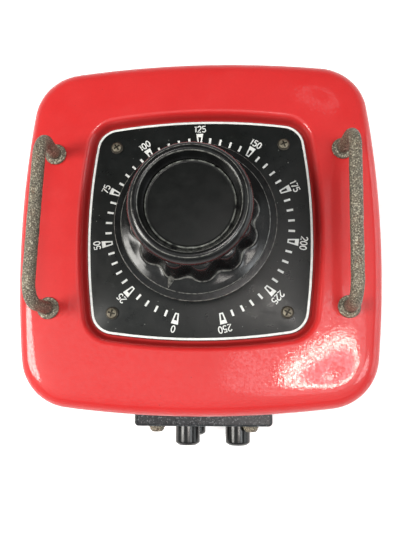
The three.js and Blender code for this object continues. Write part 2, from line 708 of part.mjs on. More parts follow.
class SpringPath extends THREE.Curve {
  getPoint(t, target = new THREE.Vector3()) {
    const angle = t * 4 * 2 * Math.PI;
    return target.set(2.7 * Math.cos(angle), BRUSH_RADIUS + 2.7 * Math.sin(angle), 117 + 9.8 * t);
  }
}
const wireSection = new THREE.Shape();
wireSection.absarc(0, 0, 0.4, 0, 2 * Math.PI, false);
const spring = new THREE.ExtrudeGeometry(wireSection, {
  extrudePath: new SpringPath(),
  steps: 36,
  curveSegments: 2,
  bevelEnabled: false,
});
spring.rotateZ(-THREE.MathUtils.degToRad(POINTER_ANGLE));
addPiece('brush_spring', closed(spring), plainSteel());

// Pin under the cooling disc that meets the stop block at both ends of travel.
const [pinX, pinY] = heading(POINTER_ANGLE);
addPiece('stop_pin', upright(3, 110, 127.7, pinX * 50, pinY * 50, 16), plainSteel());

export default model;
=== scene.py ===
"""Bench variac: red enamel case, black dial plate with a scalloped knob, two hoop handles
and a terminal block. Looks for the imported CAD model, which stays the fixed frame."""

import json
import math

import bmesh
import bpy
from mathutils import Matrix, Vector, noise

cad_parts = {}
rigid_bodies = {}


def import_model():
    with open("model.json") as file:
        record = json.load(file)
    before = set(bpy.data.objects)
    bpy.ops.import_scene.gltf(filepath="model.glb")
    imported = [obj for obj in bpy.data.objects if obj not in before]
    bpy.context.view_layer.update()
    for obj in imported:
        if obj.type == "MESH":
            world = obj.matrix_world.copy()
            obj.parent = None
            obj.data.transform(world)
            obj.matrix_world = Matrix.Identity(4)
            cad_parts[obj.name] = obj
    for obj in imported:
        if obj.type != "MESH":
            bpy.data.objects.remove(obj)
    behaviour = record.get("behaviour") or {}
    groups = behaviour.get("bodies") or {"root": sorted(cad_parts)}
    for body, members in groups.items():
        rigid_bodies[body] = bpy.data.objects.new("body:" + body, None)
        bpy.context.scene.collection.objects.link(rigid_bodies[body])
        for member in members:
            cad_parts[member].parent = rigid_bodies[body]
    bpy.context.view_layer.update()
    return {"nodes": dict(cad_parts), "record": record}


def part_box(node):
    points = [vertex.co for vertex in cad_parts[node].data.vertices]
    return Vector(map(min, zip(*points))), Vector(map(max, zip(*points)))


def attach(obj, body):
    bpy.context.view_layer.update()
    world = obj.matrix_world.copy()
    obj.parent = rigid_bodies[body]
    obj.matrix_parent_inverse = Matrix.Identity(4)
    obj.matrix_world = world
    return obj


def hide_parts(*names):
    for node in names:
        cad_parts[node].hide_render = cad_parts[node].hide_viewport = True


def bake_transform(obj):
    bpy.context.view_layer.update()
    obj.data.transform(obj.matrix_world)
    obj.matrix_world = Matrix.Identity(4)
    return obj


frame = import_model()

# ------------------------------------------------------------------ dimensions
# Millimetres from the point where the shaft axis meets the dial face, +Z up,
# terminals towards -Y.

MM = 0.001
shaft_low, shaft_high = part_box("shaft")
dial_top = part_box("dial_plate")[1].z
ORIGIN = Vector(((shaft_low.x + shaft_high.x) / 2, (shaft_low.y + shaft_high.y) / 2, dial_top))

CASE_HALF = 119.3
CASE_SHIFT_Y = -1.3      # the case stands a little in front of the shaft axis
CASE_BULGE = 690.0
CASE_CORNER = 34.0
DIAL_HALF = 73.8
DIAL_BULGE = 388.0
DIAL_CORNER = 15.0
DIAL_SHIFT = (1.3, 0.3)  # and the dial a little to its right
SKIRT_BOTTOM = -44.0
SHEET = 1.6

HANDLE_X = 95.0
HANDLE_LEG_Y = 51.8
HANDLE_CENTRE_Y = -1.0
HANDLE_LEAN = 0.026    # the grips are turned slightly against their feet
HANDLE_GRIP_HEIGHT = 37.4
HANDLE_ROD = 3.98
HANDLE_BEND = 14.0
HANDLE_LEG_BOTTOM = -13.0

KNOB_LOBES = 12
# Pale bands along the knob's rims and the lobes' foot: partly rubbed wear, partly painted highlights.
KNOB_WORN_AND_HIGHLIT_EDGES = [    # radius from, to, height from, to
    (29.0, 29.35, 58.0, 60.0),
    (32.1, 32.4, 58.5, 60.2),
    (30.0, 41.6, 22.7, 23.2),
    (46.15, 46.45, 19.0, 21.0),
    (50.5, 51.0, 18.6, 19.6),
]
# Pale band on the pointer: partly rubbed wear, partly a painted highlight on its ridge.
POINTER_WORN_AND_HIGHLIT = [(37.4, 46.0, 19.5, 27.5)]
KNOB_LOBE_DEPTH = 3.6
POINTER_ANGLE = 200.5  # degrees clockwise from the rear

SCALE_STEP = 6.64      # degrees for one 5 V mark
SCALE_TOP_VOLTS = 125  # this value stands at the rear
MARK_INNER = 57.9
MARK_OUTER = 62.1
NUMERAL_RADIUS = 68.3
NUMERAL_HEIGHT = 4.5

# Name, side and end of everything that stands at corners.
CORNERS = [("rear_left", -1, 1), ("front_left", -1, -1), ("rear_right", 1, 1), ("front_right", 1, -1)]
BLOCK_CORNERS = [("upper_left", -1, 1), ("upper_right", 1, 1), ("lower_left", -1, -1),
                 ("lower_right", 1, -1)]


def place(x, y, z):
    """A point in the frame, from millimetres counted from the dial centre."""
    return Vector((ORIGIN.x + x * MM, ORIGIN.y + y * MM, ORIGIN.z + z * MM))


def heading(degrees):
    """Plan direction for an angle clockwise from the rear."""
    angle = math.radians(degrees)
    return math.sin(angle), math.cos(angle)


# --------------------------------------------------------------- node helpers

class Look:
    """A node material with short calls for the usual procedural layers."""

    def __init__(self, name, roughness=0.5, metallic=0.0, coat=0.0, specular=0.5):
        self.material = bpy.data.materials.new(name)
        self.material.use_nodes = True
        self.tree = self.material.node_tree
        self.shader = self.tree.nodes["Principled BSDF"]
        self.settings({"Roughness": roughness, "Metallic": metallic, "Coat Weight": coat,
                       "Coat Roughness": 0.05, "Specular IOR Level": specular})
        self.coords = self.tree.nodes.new("ShaderNodeTexCoord").outputs["Object"]

    def settings(self, values):
        """Fixed values for inputs of the shader."""
        for name, value in values.items():
            self.shader.inputs[name].default_value = value

    def link(self, source, target):
        self.tree.links.new(source, target)

    def add(self, kind, settings, vector=None):
        """A new node with its inputs set, fed by a vector if one is given."""
        node = self.tree.nodes.new(kind)
        for name, value in settings.items():
            node.inputs[name].default_value = value
        if vector is not None:
            self.link(vector, node.inputs["Vector"])
        return node

    def noise(self, size_mm, detail, rough=0.55):
        """Noise whose features are about size_mm across."""
        settings = {"Scale": 1000.0 / size_mm, "Detail": detail, "Roughness": rough}
        return self.add("ShaderNodeTexNoise", settings, self.coords).outputs["Fac"]

    def spots(self, size_mm):
        """Distance to scattered points about size_mm apart."""
        return self.add("ShaderNodeTexVoronoi", {"Scale": 1000.0 / size_mm}, self.coords).outputs["Distance"]

    def height(self):
        """Height in the frame, in metres."""
        return self.add("ShaderNodeSeparateXYZ", {}, self.coords).outputs["Z"]

    def radius(self):
        """Distance from the shaft axis in millimetres."""
        flat = self.coords
        for operation, value in (("SUBTRACT", ORIGIN), ("MULTIPLY", (1 / MM, 1 / MM, 0.0))):
            node = self.tree.nodes.new("ShaderNodeVectorMath")
            node.operation = operation
            node.inputs[1].default_value = value
            self.link(flat, node.inputs[0])
            flat = node.outputs[0]
        length = self.tree.nodes.new("ShaderNodeVectorMath")
        length.operation = "LENGTH"
        self.link(flat, length.inputs[0])
        return length.outputs["Value"]

    def spread(self, value, low, high, out_low=0.0, out_high=1.0):
        """Maps low..high of a value to out_low..out_high."""
        settings = {"From Min": low, "From Max": high, "To Min": out_low, "To Max": out_high}
        node = self.add("ShaderNodeMapRange", settings)
        self.link(value, node.inputs["Value"])
        return node.outputs["Result"]

    def times(self, first, second):
        """The product of two values or outputs."""
        node = self.tree.nodes.new("ShaderNodeMath")
        node.operation = "MULTIPLY"
        for socket, value in zip(node.inputs, (first, second)):
            if isinstance(value, (int, float)):
                socket.default_value = value
            else:
                self.link(value, socket)
        return node.outputs[0]

    def blend(self, factor, first, second):
        """Mixes two colours, each given as a tuple or as an output."""
        node = self.tree.nodes.new("ShaderNodeMix")
        node.data_type = "RGBA"
        self.link(factor, node.inputs["Factor"])
        for socket, value in ((node.inputs[6], first), (node.inputs[7], second)):
            if isinstance(value, tuple):
                socket.default_value = (*value, 1.0)
            else:
                self.link(value, socket)
        return node.outputs[2]

    def mottle(self, noise, low, high, first, second):
        """Two colours mixed by a noise."""
        return self.blend(self.spread(self.noise(*noise), low, high), first, second)

    def stain(self, base, noise, low, high, amount, colour):
        """Patches of a colour over the base, where the noise is high."""
        return self.blend(self.spread(self.noise(*noise), low, high, 0.0, amount), base, colour)

    def bump(self, layers):
        """Stacks bumps given as (height, strength, depth in mm)."""
        normal = None
        for value, strength, depth_mm in layers:
            node = self.add("ShaderNodeBump", {"Strength": strength, "Distance": depth_mm * MM})
            self.link(value, node.inputs["Height"])
            if normal is not None:
                self.link(normal, node.inputs["Normal"])
            normal = node.outputs["Normal"]
        self.link(normal, self.shader.inputs["Normal"])
        self.link(normal, self.shader.inputs["Coat Normal"])

    def colour(self, value):
        self.link(value, self.shader.inputs["Base Color"])

    def roughness(self, value):
        self.link(value, self.shader.inputs["Roughness"])


# ------------------------------------------------------------------- materials

def make_red_enamel():
    look = Look("red_enamel", roughness=0.45, coat=1.0, specular=0.3)
    base = look.mottle((70, 3), 0.3, 0.7, (0.565, 0.016, 0.016), (0.61, 0.022, 0.022))  # clouds
    base = look.stain(base, (14, 6, 0.65), 0.55, 0.8, 0.3, (0.60, 0.045, 0.042))  # faded
    specks = look.times(look.spread(look.spots(9), 0.045, 0.02), 0.6)
    base = look.blend(specks, base, (0.10, 0.012, 0.012))
    base = look.stain(base, (5, 6, 0.75), 0.66, 0.8, 0.35, (0.24, 0.02, 0.018))  # grime
    # Painted shade, with some grime: the enamel is darker in the recess round the dial, below 3.6 mm and
    # within about 110 mm of the shaft axis.
    near_dial = look.spread(look.radius(), 108, 112, 1.0, 0.0)
    low_down = look.spread(look.height(), ORIGIN.z + 0.4 * MM, ORIGIN.z + 3.6 * MM, 0.5, 0.0)
    base = look.blend(look.times(near_dial, low_down), base, (0.10, 0.008, 0.007))
    look.colour(base)
    look.roughness(look.spread(look.noise(12, 6, 0.7), 0.3, 0.75, 0.38, 0.55))
    top_gloss = look.spread(look.height(), ORIGIN.z - 3 * MM, ORIGIN.z + 2.2 * MM, 0.12, 1.0)
    pitting = look.spread(look.noise(1.5, 3, 0.7), 0.42, 0.56, 0.35, 1.0)
    look.link(look.times(top_gloss, pitting), look.shader.inputs["Coat Weight"])
    look.bump([(look.noise(1.6, 2, 0.6), 1.0, 0.028), (look.noise(30, 2), 0.3, 0.06)])
    return look.material


def make_dial_enamel():
    look = Look("black_enamel", roughness=0.3, specular=0.3)
    base = look.mottle((22, 5, 0.6), 0.35, 0.75, (0.004, 0.005, 0.0045), (0.009, 0.0105, 0.0105))  # haze
    base = look.stain(base, (7, 6, 0.75), 0.6, 0.78, 0.35, (0.05, 0.055, 0.05))  # smudges
    base = look.stain(base, (1.1, 5, 0.75), 0.62, 0.8, 0.45, (0.09, 0.10, 0.095))  # dust
    specks = look.times(look.spread(look.spots(6), 0.06, 0.03), 0.6)
    look.colour(look.blend(specks, base, (0.3, 0.31, 0.29)))
    look.roughness(look.spread(look.noise(8, 6, 0.7), 0.3, 0.7, 0.24, 0.42))
    look.bump([(look.noise(0.9, 3), 0.12, 0.05), (look.noise(30, 2), 0.2, 0.3)])
    return look.material


def make_print_white():
    look = Look("scale_print", roughness=0.55)
    base = look.mottle((3, 4), 0.35, 0.7, (0.62, 0.64, 0.62), (0.80, 0.81, 0.79))  # tone
    look.colour(look.stain(base, (0.8, 5, 0.75), 0.66, 0.78, 0.7, (0.12, 0.12, 0.12)))  # worn
    look.bump([(look.noise(0.5, 3), 0.2, 0.03)])
    return look.material


def make_bakelite(name, worn_and_highlit_edges=()):
    """Polished black moulding; edges are made pale inside bands of radius and height, partly as rubbed wear
    and partly as painted highlights.
    """
    look = Look(name, roughness=0.16, specular=0.4)
    base = look.mottle((14, 5, 0.6), 0.4, 0.75, (0.004, 0.004, 0.004), (0.009, 0.01, 0.01))  # haze
    base = look.stain(base, (0.7, 6, 0.8), 0.62, 0.8, 0.3, (0.08, 0.08, 0.075))  # dust
    base = look.stain(base, (6, 6, 0.75), 0.66, 0.76, 0.5, (0.085, 0.07, 0.045))  # grime
    patchy = look.spread(look.noise(2.5, 5), 0.3, 0.6)
    # Painted highlight and rubbed wear: each band is blended pale where the patchy noise is high.
    for inner, outer, low, high in worn_and_highlit_edges:
        beyond = look.spread(look.radius(), inner - 0.15, inner)
        within = look.spread(look.radius(), outer, outer + 0.15, 1.0, 0.0)
        above = look.spread(look.height(), ORIGIN.z + (low - 0.2) * MM, ORIGIN.z + low * MM)
        below = look.spread(look.height(), ORIGIN.z + high * MM, ORIGIN.z + (high + 0.2) * MM, 1.0, 0.0)
        band = look.times(look.times(beyond, within), look.times(above, below))
        base = look.blend(look.times(band, patchy), base, (0.17, 0.17, 0.155))
    look.colour(base)
    look.roughness(look.spread(look.noise(5, 6, 0.7), 0.3, 0.75, 0.12, 0.32))
    look.bump([(look.noise(6, 3), 0.15, 0.12), (look.noise(1.1, 3), 0.08, 0.02)])
    return look.material


def make_knob_disc():
    look = Look("knob_disc", roughness=0.35, specular=0.28)
    base = look.mottle((13, 6, 0.65), 0.35, 0.75, (0.0015, 0.002, 0.0018), (0.0055, 0.0065, 0.006))  # haze
    base = look.stain(base, (0.8, 6, 0.8), 0.6, 0.8, 0.35, (0.07, 0.075, 0.07))  # dust
    patchy = look.spread(look.noise(3, 5), 0.35, 0.6)
    border = look.times(look.spread(look.radius(), 24.9, 25.3), patchy)
    look.colour(look.blend(border, base, (0.2, 0.21, 0.19)))
    look.roughness(look.spread(look.noise(7, 6, 0.7), 0.3, 0.7, 0.28, 0.45))
    look.bump([(look.noise(0.8, 4), 0.2, 0.04)])
    return look.material


def make_block_resin():
    look = Look("block_resin", roughness=0.34, specular=0.4)
    base = look.mottle((2.0, 4, 0.7), 0.35, 0.7, (0.004, 0.006, 0.008), (0.032, 0.038, 0.043))  # grain
    look.colour(look.stain(base, (1.3, 3, 0.6), 0.56, 0.66, 0.7, (0.2, 0.22, 0.23)))  # flecks
    look.roughness(look.spread(look.noise(1.5, 4), 0.3, 0.7, 0.24, 0.45))
    look.bump([(look.noise(1.4, 4), 0.35, 0.12)])
    return look.material


def make_rusty_steel():
    look = Look("rusty_steel", roughness=0.6, metallic=0.25)
    base = look.mottle((11, 5, 0.6), 0.38, 0.64, (0.165, 0.135, 0.095), (0.13, 0.118, 0.09))  # patches
    base = look.stain(base, (7, 5, 0.7), 0.56, 0.7, 0.6, (0.22, 0.12, 0.07))  # brown
    grain = look.noise(0.95, 2, 0.6)
    base = look.blend(look.spread(grain, 0.46, 0.36, 0.0, 0.85), base, (0.035, 0.028, 0.020))
    base = look.blend(look.spread(grain, 0.55, 0.66, 0.0, 0.9), base, (0.50, 0.47, 0.36))
    look.colour(base)
    look.roughness(look.spread(look.noise(3, 5, 0.7), 0.3, 0.7, 0.42, 0.75))
    look.bump([(look.noise(3.4, 4), 0.6, 0.35), (grain, 0.7, 0.3)])
    return look.material


def make_old_screw():
    look = Look("old_screw", roughness=0.5, metallic=0.5)
    base = look.mottle((2.2, 5, 0.65), 0.35, 0.65, (0.26, 0.235, 0.175), (0.13, 0.115, 0.085))  # tone
    grain = look.noise(0.7, 4, 0.7)
    base = look.blend(look.spread(grain, 0.5, 0.64, 0.0, 0.7), base, (0.07, 0.055, 0.04))
    # Painted shade: the slot bottoms and the rim of each head are darkened below 1.7 mm.
    painted_shade = look.spread(look.height(), ORIGIN.z + 1.25 * MM, ORIGIN.z + 1.7 * MM, 0.9, 0.0)
    look.colour(look.blend(painted_shade, base, (0.02, 0.017, 0.012)))
    look.roughness(look.spread(grain, 0.3, 0.7, 0.38, 0.65))
    look.bump([(grain, 0.4, 0.12)])
    return look.material


def make_metal(name, dark, light, roughness, stain=0.3, grain_mm=1.2):
    look = Look(name, roughness=roughness, metallic=1.0)
    base = look.mottle((grain_mm * 4, 5), 0.3, 0.7, dark, light)
    look.colour(look.stain(base, (grain_mm * 2, 6, 0.7), 0.55, 0.75, stain, (0.09, 0.06, 0.04)))  # spots
    look.roughness(look.spread(look.noise(grain_mm * 3, 5), 0.3, 0.7, roughness * 0.75, roughness * 1.4))
    look.bump([(look.noise(grain_mm, 3), 0.25, 0.05)])
    return look.material


def make_core_steel():
    look = Look("core_steel", roughness=0.45, metallic=0.8)
    layers = look.add("ShaderNodeTexWave", {"Scale": 900, "Distortion": 0.6}, look.coords)
    layers.wave_type = "RINGS"
    layers.rings_direction = "Z"
    look.colour(look.blend(layers.outputs["Fac"], (0.06, 0.065, 0.075), (0.2, 0.21, 0.23)))
    look.bump([(layers.outputs["Fac"], 0.4, 0.1)])
    return look.material


def make_dull(name, dark, light, roughness, grain_mm):
    look = Look(name, roughness=roughness)
    look.colour(look.mottle((grain_mm, 5, 0.65), 0.3, 0.7, dark, light))
    rougher = min(1.0, roughness * 1.15)
    look.roughness(look.spread(look.noise(grain_mm * 2, 4), 0.3, 0.7, roughness * 0.85, rougher))
    look.bump([(look.noise(grain_mm * 0.5, 4), 0.3, 0.1)])
    return look.material


LOOKS = {
    "red_enamel": make_red_enamel(),
    "black_enamel": make_dial_enamel(),
    "scale_print": make_print_white(),
    "bakelite": make_bakelite("bakelite"),
    "knob_bakelite": make_bakelite("knob_bakelite", KNOB_WORN_AND_HIGHLIT_EDGES),
    "pointer_bakelite": make_bakelite("pointer_bakelite", POINTER_WORN_AND_HIGHLIT),
    "knob_disc": make_knob_disc(),
    "block_resin": make_block_resin(),
    "rusty_steel": make_rusty_steel(),
    "old_screw": make_old_screw(),
    "plain_steel": make_metal("plain_steel", (0.30, 0.29, 0.27), (0.5, 0.49, 0.46), 0.35),
    "brass": make_metal("brass", (0.42, 0.29, 0.11), (0.7, 0.52, 0.24), 0.3, 0.4),
    "copper": make_metal("copper", (0.42, 0.14, 0.05), (0.62, 0.25, 0.11), 0.25, 0.2),
    "core_steel": make_core_steel(),
    "aluminium": make_metal("aluminium", (0.5, 0.5, 0.5), (0.66, 0.66, 0.66), 0.38, 0.15),
    "insulator": make_dull("insulator", (0.13, 0.05, 0.02), (0.24, 0.11, 0.05), 0.5, 3.0),
    "carbon": make_dull("carbon", (0.02, 0.02, 0.022), (0.045, 0.045, 0.047), 0.6, 1.0),
    "rubber": make_dull("rubber", (0.012, 0.012, 0.012), (0.03, 0.03, 0.03), 0.85, 1.5),
}

# Every CAD node keeps its shape and takes the look of its material slot.
for part in frame["record"]["subparts"]:
    mesh = frame["nodes"][part["node"]].data
    mesh.materials.clear()
    mesh.materials.append(LOOKS[part["material_slot"]])


# ---------------------------------------------------------------- mesh helpers

def put(name, data):
    """A new object in the scene."""
    thing = bpy.data.objects.new(name, data)
    bpy.context.scene.collection.objects.link(thing)
    return thing


def finish_piece(name, mesh, look, body, replaced=(), sharp_degrees=35):
    """Smooths faces, keeps hard edges, and hands the piece to its body. Given a tuple instead, it leaves
    the piece unattached, with its placement baked into the mesh; the tuple's bodies and points are not used."""
    work = bmesh.new()
    work.from_mesh(mesh)
    bmesh.ops.remove_doubles(work, verts=work.verts, dist=1e-7)
    bmesh.ops.recalc_face_normals(work, faces=work.faces)
    for face in work.faces:
        face.smooth = True
    limit = math.radians(sharp_degrees)
    for edge in work.edges:
        edge.smooth = len(edge.link_faces) == 2 and edge.calc_face_angle(0.0) < limit
    work.to_mesh(mesh)
    work.free()
    mesh.materials.append(LOOKS[look])
    piece = put(name, mesh)
    if isinstance(body, str):
        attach(piece, body)
    else:
        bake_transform(piece)
    if replaced:
        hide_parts(*replaced)


def circle(count):
    """(cosine, sine) pairs once round."""
    turns = [2 * math.pi * i / count for i in range(count)]
    return [(math.cos(turn), math.sin(turn)) for turn in turns]


def mesh_of(name, points, faces):
    mesh = bpy.data.meshes.new(name)
    mesh.from_pydata([place(*p) for p in points], [], faces)
    mesh.validate()
    return mesh


def skin(name, rings, looped=False):
    """Faces between equal rings; a looped skin joins the last ring to the first,
    an open one is closed by a face at each end."""
    count = len(rings[0])
    points = [p for ring in rings for p in ring]
    faces = []
    steps = len(rings) if looped else len(rings) - 1
    for r in range(steps):
        following = (r + 1) % len(rings)
        for i in range(count):
            j = (i + 1) % count
            faces.append((r * count + i, r * count + j, following * count + j, following * count + i))
    if not looped:
        faces.append(tuple(range(count - 1, -1, -1)))
        last = (len(rings) - 1) * count
        faces.append(tuple(range(last, last + count)))
    return mesh_of(name, points, faces)


def rounded_path(points, steps=5):
    """Puts a small arc at each point given as (a, b, radius)."""
    result = []
    for i, (a, b, radius) in enumerate(points):
        here = Vector((a, b))
        if radius <= 0 or i in (0, len(points) - 1):
            result.append((a, b))
            continue
        before = Vector(points[i - 1][:2]) - here
        after = Vector(points[i + 1][:2]) - here
        half_angle = before.angle(after) / 2
        if half_angle > math.radians(88):
            result.append((a, b))
            continue
        reach = min(radius / math.tan(half_angle), before.length * 0.49, after.length * 0.49)
        start = here + before.normalized() * reach
        end = here + after.normalized() * reach
        for k in range(steps + 1):
            t = k / steps
            point = start.lerp(here, t).lerp(here.lerp(end, t), t)
            result.append((point.x, point.y))
    return result


def curved(points, steps=4):
    """Smooth curve through tuples, as Catmull-Rom."""
    result = []
    for i in range(len(points) - 1):
        p0 = points[max(i - 1, 0)]
        p1, p2 = points[i], points[i + 1]
        p3 = points[min(i + 2, len(points) - 1)]
        for k in range(steps):
            t = k / steps
            result.append(tuple(
                0.5 * (2 * b + (c - a) * t + (2 * a - 5 * b + 4 * c - d) * t * t
                       + (3 * b - a - 3 * c + d) * t * t * t)
                for a, b, c, d in zip(p0, p1, p2, p3)))
    result.append(tuple(points[-1]))
    return result


def turned(name, outline, segments=48, centre=(0.0, 0.0), along_block=False):
    """Spins (radius, height) pairs about a vertical axis, or about -Y on the block."""
    rings = []
    for radius, height in outline:
        ring = []
        for across, up in circle(segments):
            u = max(radius, 0.001) * across
            v = max(radius, 0.001) * up
            if along_block:
                ring.append((centre[0] + u, -height, centre[1] + v))
            else:
                ring.append((centre[0] + u, centre[1] + v, height))
        rings.append(ring)
    return skin(name, rings)


def outline_points(half, bulge, corner):
    """A square with bulged sides and round corners, as in the CAD part."""
    side_steps = 22
    corner_steps = 14
    arc_centre = half - bulge
    reach = bulge - corner
    corner_centre = (arc_centre + math.sqrt(2 * reach * reach - arc_centre * arc_centre)) / 2
    limit = math.atan2(corner_centre, corner_centre - arc_centre)
    points = []
    for quarter in range(4):
        turn = quarter * math.pi / 2
        quarter_points = []
        for i in range(side_steps):
            angle = -limit + 2 * limit * i / side_steps
            quarter_points.append((arc_centre + bulge * math.cos(angle), bulge * math.sin(angle)))
        for i in range(corner_steps):
            angle = limit + (math.pi / 2 - 2 * limit) * i / corner_steps
            quarter_points.append((corner_centre + corner * math.cos(angle),
                                   corner_centre + corner * math.sin(angle)))
        for x, y in quarter_points:
            points.append((x * math.cos(turn) - y * math.sin(turn), x * math.sin(turn) + y * math.cos(turn)))
    return points


def case_ring(half, height):
    """Outline of the case, or of a smaller one inside it."""
    inset = CASE_HALF - half
    points = outline_points(half, CASE_BULGE - inset, max(CASE_CORNER - inset * 0.6, 12))
    return [(x, y + CASE_SHIFT_Y, height) for x, y in points]


def dial_ring(half, height):
    """Outline of the dial plate, or of a smaller or larger one."""
    inset = DIAL_HALF - half
    points = outline_points(half, DIAL_BULGE - inset, DIAL_CORNER - inset)
    return [(x + DIAL_SHIFT[0], y + DIAL_SHIFT[1], height) for x, y in points]


def round_ring(radius, height):
    """A circle with its points in step with those of the two rings above."""
    ring = []
    for x, y in outline_points(DIAL_HALF, DIAL_BULGE, DIAL_CORNER):
        scale = radius / math.hypot(x, y)
        ring.append((x * scale, y * scale, height))
    return ring


def cutting_box(name, size, centre, turn_degrees=0.0):
    """A box mesh object used only to cut another piece."""
    half = [s / 2 * MM for s in size]
    work = bmesh.new()
    bmesh.ops.create_cube(work, size=2.0)
    for vert in work.verts:
        vert.co = Vector((vert.co.x * half[0], vert.co.y * half[1], vert.co.z * half[2]))
    spin = Matrix.Rotation(math.radians(turn_degrees), 4, "Z")
    bmesh.ops.transform(work, matrix=Matrix.Translation(place(*centre)) @ spin, verts=work.verts)
    mesh = bpy.data.meshes.new(name)
    work.to_mesh(mesh)
    work.free()
    return mesh


def cutting_skin(name, rings):
    """A closed skin with its faces turned outwards, used only to cut another piece."""
    mesh = skin(name, rings)
    work = bmesh.new()
    work.from_mesh(mesh)
    bmesh.ops.recalc_face_normals(work, faces=work.faces)
    work.to_mesh(mesh)
    work.free()
    return mesh


def cutting_rod(name, radius, degrees, height, start, end):
    """A level round rod along a heading from the shaft axis."""
    rings = []
    for reach in (start, end):
        rings.append([(*dial_point(degrees, reach, radius * across), height + radius * up)
                      for across, up in circle(32)])
    return cutting_skin(name, rings)


def cut_mesh(mesh, cutters):
    """Boolean difference of a mesh and several cutter meshes, as a new mesh."""
    body = put("cut_body", mesh)
    tools = bpy.data.collections.new("cut_tools")
    for cutter in cutters:
        tools.objects.link(bpy.data.objects.new("cut_tool", cutter))
    modifier = body.modifiers.new("cut", "BOOLEAN")
    modifier.operation = "DIFFERENCE"
    modifier.operand_type = "COLLECTION"
    modifier.collection = tools
    modifier.solver = "EXACT"
    result = bpy.data.meshes.new_from_object(body.evaluated_get(bpy.context.evaluated_depsgraph_get()))
    for tool in list(tools.objects):
        bpy.data.objects.remove(tool)
    bpy.data.collections.remove(tools)
    bpy.data.objects.remove(body)
    return result


# ------------------------------------------------------------------- top cover

dome = curved([
    (87, 4.25), (90, 4.25), (96, 4.2), (103, 4.05), (109, 3.65), (112.3, 2.95), (114.8, 1.75),
    (116.9, -0.15), (118.3, -2.7), (119.0, -5.8), (119.25, -8.0), (CASE_HALF, -10.5),
], 4)
lip = curved([(74.9, -2.1), (75.4, -1.8), (76.3, -0.6), (78.0, 2.4), (79.2, 3.7), (80.2, 4.12), (81.0, 4.23),
              (82.2, 4.25)], 4)
skirt = [(CASE_HALF, -22), (CASE_HALF, -30), (CASE_HALF, -43.4), (CASE_HALF - 0.3, SKIRT_BOTTOM + 0.1),
         (CASE_HALF - 0.8, SKIRT_BOTTOM), (CASE_HALF - SHEET, SKIRT_BOTTOM + 0.2)]
cover_inside = [(CASE_HALF - SHEET, -10.5), (117.2, -4.5), (113.9, 0.3), (108, 2.0), (90, 2.6), (83.4, 2.6)]
cover_rings = [round_ring(12.2, -2.1), round_ring(40, -2.1)]
cover_rings += [dial_ring(half, height) for half, height in lip]
cover_rings += [case_ring(half, height) for half, height in dome + skirt + cover_inside]
cover_rings += [dial_ring(80.4, 2.0), dial_ring(77.4, -2.7), dial_ring(76.4, -3.7), round_ring(12.2, -3.7)]
finish_piece("cover_shell", skin("cover_shell", cover_rings, looped=True), "red_enamel", "case",
             replaced=["top_cover"], sharp_degrees=50)

# ------------------------------------------------------------------ dial plate

plate_rings = [
    round_ring(12.2, -1.8), dial_ring(DIAL_HALF, -1.8), dial_ring(DIAL_HALF, -0.35),
    dial_ring(DIAL_HALF - 0.12, -0.1), dial_ring(DIAL_HALF - 0.4, 0.0),
    round_ring(40, 0.0), round_ring(12.2, 0.0),
]
finish_piece("dial_face", skin("dial_face", plate_rings, looped=True), "black_enamel", "case",
             replaced=["dial_plate"])

PRINT = 0.06  # thickness of the printed layer


def slab(points):
    """Vertices and faces of a thin flat polygon."""
    count = len(points)
    verts = [(x, y, z) for z in (0.0, PRINT) for x, y in points]
    faces = [tuple(range(count - 1, -1, -1)), tuple(range(count, 2 * count))]
    faces += [(i, (i + 1) % count, count + (i + 1) % count, count + i) for i in range(count)]
    return verts, faces


def band(inner, outer):
    """Vertices and faces of a thin flat ring between two equal outlines."""
    count = len(inner)
    verts = [(x, y, z) for z in (0.0, PRINT) for outline in (inner, outer) for x, y in outline]
    faces = []
    for i in range(count):
        j = (i + 1) % count
        faces.append((i, j, count + j, count + i))
        faces.append((2 * count + i, 3 * count + i, 3 * count + j, 2 * count + j))
        faces.append((i, 2 * count + i, 2 * count + j, j))
        faces.append((count + i, count + j, 3 * count + j, 3 * count + i))
    return verts, faces


def joined(name, shapes):
    """One mesh from several lists of vertices and faces."""
    verts = []
    faces = []
    for shape_verts, shape_faces in shapes:
        start = len(verts)
        verts += shape_verts
        faces += [tuple(start + i for i in face) for face in shape_faces]
    return mesh_of(name, verts, faces)


def dial_point(degrees, radius, across=0.0):
    """Plan point at a radius from the shaft axis, shifted sideways in millimetres."""
    x, y = heading(degrees)
    return radius * x + across * y, radius * y - across * x


def printed(degrees, radius, across=0.0):
    """The same on the dial, which stands a little off the shaft axis."""
    x, y = dial_point(degrees, radius, across)
    return x + DIAL_SHIFT[0], y + DIAL_SHIFT[1]


def arc(cx, cy, rx, ry, start, end, steps):
    """Points along part of an ellipse, from one angle in degrees to another."""
    return [(cx + rx * math.cos(math.radians(start + (end - start) * i / steps)),
             cy + ry * math.sin(math.radians(start + (end - start) * i / steps))) for i in range(steps + 1)]


# Strokes of the digits that the scale needs, in a box 1 high and about 0.6 wide.
DIGITS = {
    "0": [arc(0.3, 0.5, 0.24, 0.46, 0, 360, 28)],
    "1": [[(0.18, 0.82), (0.34, 0.98), (0.34, 0.02)]],
    "2": [arc(0.3, 0.72, 0.24, 0.25, 170, -35, 12) + [(0.05, 0.04), (0.56, 0.04)]],
    "5": [[(0.52, 0.96), (0.13, 0.96), (0.10, 0.55)] + arc(0.29, 0.33, 0.25, 0.28, 125, -150, 14)],
    "7": [[(0.05, 0.96), (0.55, 0.96), (0.22, 0.02)]],
}
DIGIT_STEP = {"0": 0.68, "1": 0.56, "2": 0.68, "5": 0.68, "7": 0.66}
STROKE = 0.72  # millimetres


